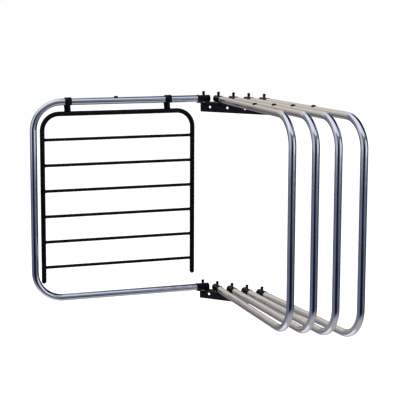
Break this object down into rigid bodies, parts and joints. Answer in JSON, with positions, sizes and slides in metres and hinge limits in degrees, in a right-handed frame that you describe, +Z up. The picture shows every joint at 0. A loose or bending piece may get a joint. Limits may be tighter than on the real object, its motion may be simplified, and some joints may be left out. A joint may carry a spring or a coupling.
{
  "type": "wall-mounted swing-frame rack",
  "caption": "Wall rack of chrome C-shaped tube loops that swing on vertical pins in two angle brackets, with a black ladder panel hooked over the first arm.",
  "frame": {"origin": "centre of the upper bracket's row of wall holes, on the wall's face", "axes": "+X to the right along the wall, +Y into the wall, +Z up along the hinge pins"},
  "size_m": [1.5508, 0.6067, 1.001],
  "materials": {
    "chrome": "bright chromium plate",
    "bracket_paint": "satin black paint",
    "black_paint": "semi-gloss black powder coat",
    "black_plastic": "moulded black, semi-gloss",
    "black_steel": "black oxide",
    "nylon": "natural nylon"
  },
  "bodies": {
    "wall_mount": {"upper_bracket": "bracket_paint", "lower_bracket": "bracket_paint", "upper_pin_1": "black_steel", "upper_pin_2": "black_steel", "upper_pin_3": "black_steel", "upper_pin_4": "black_steel", "upper_pin_5": "black_steel", "lower_pin_1": "black_steel", "lower_pin_2": "black_steel", "lower_pin_3": "black_steel", "lower_pin_4": "black_steel", "lower_pin_5": "black_steel", "upper_pin_caps": "black_plastic", "lower_pin_caps": "black_plastic", "upper_pin_nuts": "black_steel", "lower_pin_nuts": "black_steel", "upper_washers": "nylon", "lower_washers": "nylon"},
    "frame_1": {"loop_1": "chrome", "upper_knuckle_1": "black_plastic", "lower_knuckle_1": "black_plastic", "bushes_1": "nylon", "knuckle_rivets_1": "chrome", "stop_button_1": "black_plastic"},
    "frame_2": {"loop_2": "chrome", "upper_knuckle_2": "black_plastic", "lower_knuckle_2": "black_plastic", "bushes_2": "nylon", "knuckle_rivets_2": "chrome", "stop_button_2": "black_plastic"},
    "frame_3": {"loop_3": "chrome", "upper_knuckle_3": "black_plastic", "lower_knuckle_3": "black_plastic", "bushes_3": "nylon", "knuckle_rivets_3": "chrome", "stop_button_3": "black_plastic"},
    "frame_4": {"loop_4": "chrome", "upper_knuckle_4": "black_plastic", "lower_knuckle_4": "black_plastic", "bushes_4": "nylon", "knuckle_rivets_4": "chrome", "stop_button_4": "black_plastic"},
    "frame_5": {"loop_5": "chrome", "upper_knuckle_5": "black_plastic", "lower_knuckle_5": "black_plastic", "bushes_5": "nylon", "knuckle_rivets_5": "chrome", "stop_button_5": "black_plastic"},
    "ladder": {"ladder_hoop": "black_paint", "ladder_rung_1": "black_paint", "ladder_rung_2": "black_paint", "ladder_rung_3": "black_paint", "ladder_rung_4": "black_paint", "ladder_rung_5": "black_paint", "ladder_rung_6": "black_paint", "ladder_hook_inner": "black_paint", "ladder_hook_outer": "black_paint", "ladder_feet": "black_plastic"}
  },
  "joints": [
    {"name": "frame_1_swing", "type": "hinge", "parent": "wall_mount", "child": "frame_1", "pos_m": [-0.152, -0.035, 0.043], "axis": [0, 0, 1], "range_deg": [-41.6, 45.2]},
    {"name": "frame_2_swing", "type": "hinge", "parent": "wall_mount", "child": "frame_2", "pos_m": [-0.076, -0.035, 0.043], "axis": [0, 0, 1], "range_deg": [-43, 12]},
    {"name": "frame_3_swing", "type": "hinge", "parent": "wall_mount", "child": "frame_3", "pos_m": [0, -0.035, 0.043], "axis": [0, 0, 1], "range_deg": [-43, 12]},
    {"name": "frame_4_swing", "type": "hinge", "parent": "wall_mount", "child": "frame_4", "pos_m": [0.076, -0.035, 0.043], "axis": [0, 0, 1], "range_deg": [-43, 12]},
    {"name": "frame_5_swing", "type": "hinge", "parent": "wall_mount", "child": "frame_5", "pos_m": [0.152, -0.035, 0.043], "axis": [0, 0, 1], "range_deg": [-43, 12]},
    {"name": "ladder_swing", "type": "hinge", "parent": "frame_1", "child": "ladder", "pos_m": [-0.152, -0.035, 0.043], "axis": [-0.7337, -0.6794, 0], "range_deg": [-15, 15]}
  ],
  "couplings": [
    {"joint": "frame_3_swing", "follows": "frame_2_swing", "ratio": 1},
    {"joint": "frame_4_swing", "follows": "frame_2_swing", "ratio": 1},
    {"joint": "frame_5_swing", "follows": "frame_2_swing", "ratio": 1}
  ]
}
